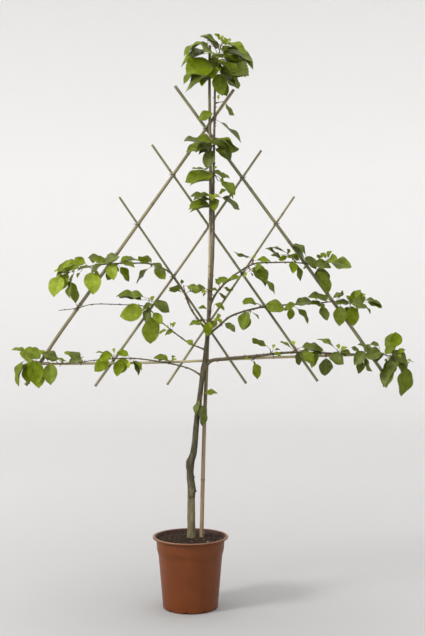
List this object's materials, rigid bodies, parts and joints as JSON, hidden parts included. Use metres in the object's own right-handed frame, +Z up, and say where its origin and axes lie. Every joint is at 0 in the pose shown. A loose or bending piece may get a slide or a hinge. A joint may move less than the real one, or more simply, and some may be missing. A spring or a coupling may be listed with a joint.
{
  "type": "potted espaliered sweet cherry",
  "caption": "Young sweet cherry trained flat as an espalier on a triangular frame of canes, in a round tapered terracotta-coloured nursery pot.",
  "frame": {"origin": "centre of the pot's flat underside", "axes": "+X to the right along the trained plane as the picture shows it, +Y to the back, away from the viewer, +Z up"},
  "size_m": [1.3141, 0.2755, 1.8928],
  "materials": {
    "terracotta_plastic": "moulded terracotta-coloured plastic with a soft sheen",
    "compost": "dark crumbly potting compost",
    "bark": "smooth grey-brown cherry bark with pale rings of lenticels",
    "cane": "dull tan and olive bamboo with joints",
    "leaf": "soft green leaves with a slight sheen"
  },
  "bodies": {
    "root": {"pot": "terracotta_plastic", "soil": "compost", "trunk": "bark", "bough_lower_left": "bark", "bough_middle_left": "bark", "bough_upper_left": "bark", "bough_lower_right": "bark", "bough_middle_right": "bark", "bough_upper_right": "bark", "cane_upright": "cane", "cane_level": "cane", "cane_rise_long": "cane", "cane_rise_middle": "cane", "cane_rise_short": "cane", "cane_fall_long": "cane", "cane_fall_middle": "cane", "cane_fall_short": "cane", "leaves_trunk_foot": "leaf", "leaves_leader_fork_left": "leaf", "leaves_leader_fork_right": "leaf", "leaves_leader_waist": "leaf", "leaves_leader_left_low": "leaf", "leaves_leader_right_low": "leaf", "leaves_leader_left_middle": "leaf", "leaves_leader_right_middle": "leaf", "leaves_leader_left_high": "leaf", "leaves_leader_right_high": "leaf", "leaves_leader_top": "leaf", "leaves_leader_right_top": "leaf", "leaves_crown": "leaf", "leaves_shoulder_left": "leaf", "leaves_upper_left_inner": "leaf", "leaves_upper_left_middle": "leaf", "leaves_upper_left_outer": "leaf", "leaves_upper_left_tip": "leaf", "leaves_middle_left_root": "leaf", "leaves_middle_left_over": "leaf", "leaves_middle_left_under": "leaf", "leaves_lower_left_root": "leaf", "leaves_lower_left_inner": "leaf", "leaves_lower_left_middle": "leaf", "leaves_lower_left_tip": "leaf", "leaves_lower_right_root": "leaf", "leaves_lower_right_inner": "leaf", "leaves_lower_right_middle": "leaf", "leaves_lower_right_spur": "leaf", "leaves_lower_right_over": "leaf", "leaves_lower_right_outer": "leaf", "leaves_lower_right_tip": "leaf", "leaves_middle_right_root": "leaf", "leaves_middle_right_inner": "leaf", "leaves_middle_right_fan": "leaf", "leaves_middle_right_spur": "leaf", "leaves_middle_right_outer": "leaf", "leaves_middle_right_tip": "leaf", "leaves_upper_right_root": "leaf", "leaves_upper_right_inner": "leaf", "leaves_upper_right_fan": "leaf", "leaves_upper_right_middle": "leaf", "leaves_upper_right_tip": "leaf"}
  },
  "joints": []
}
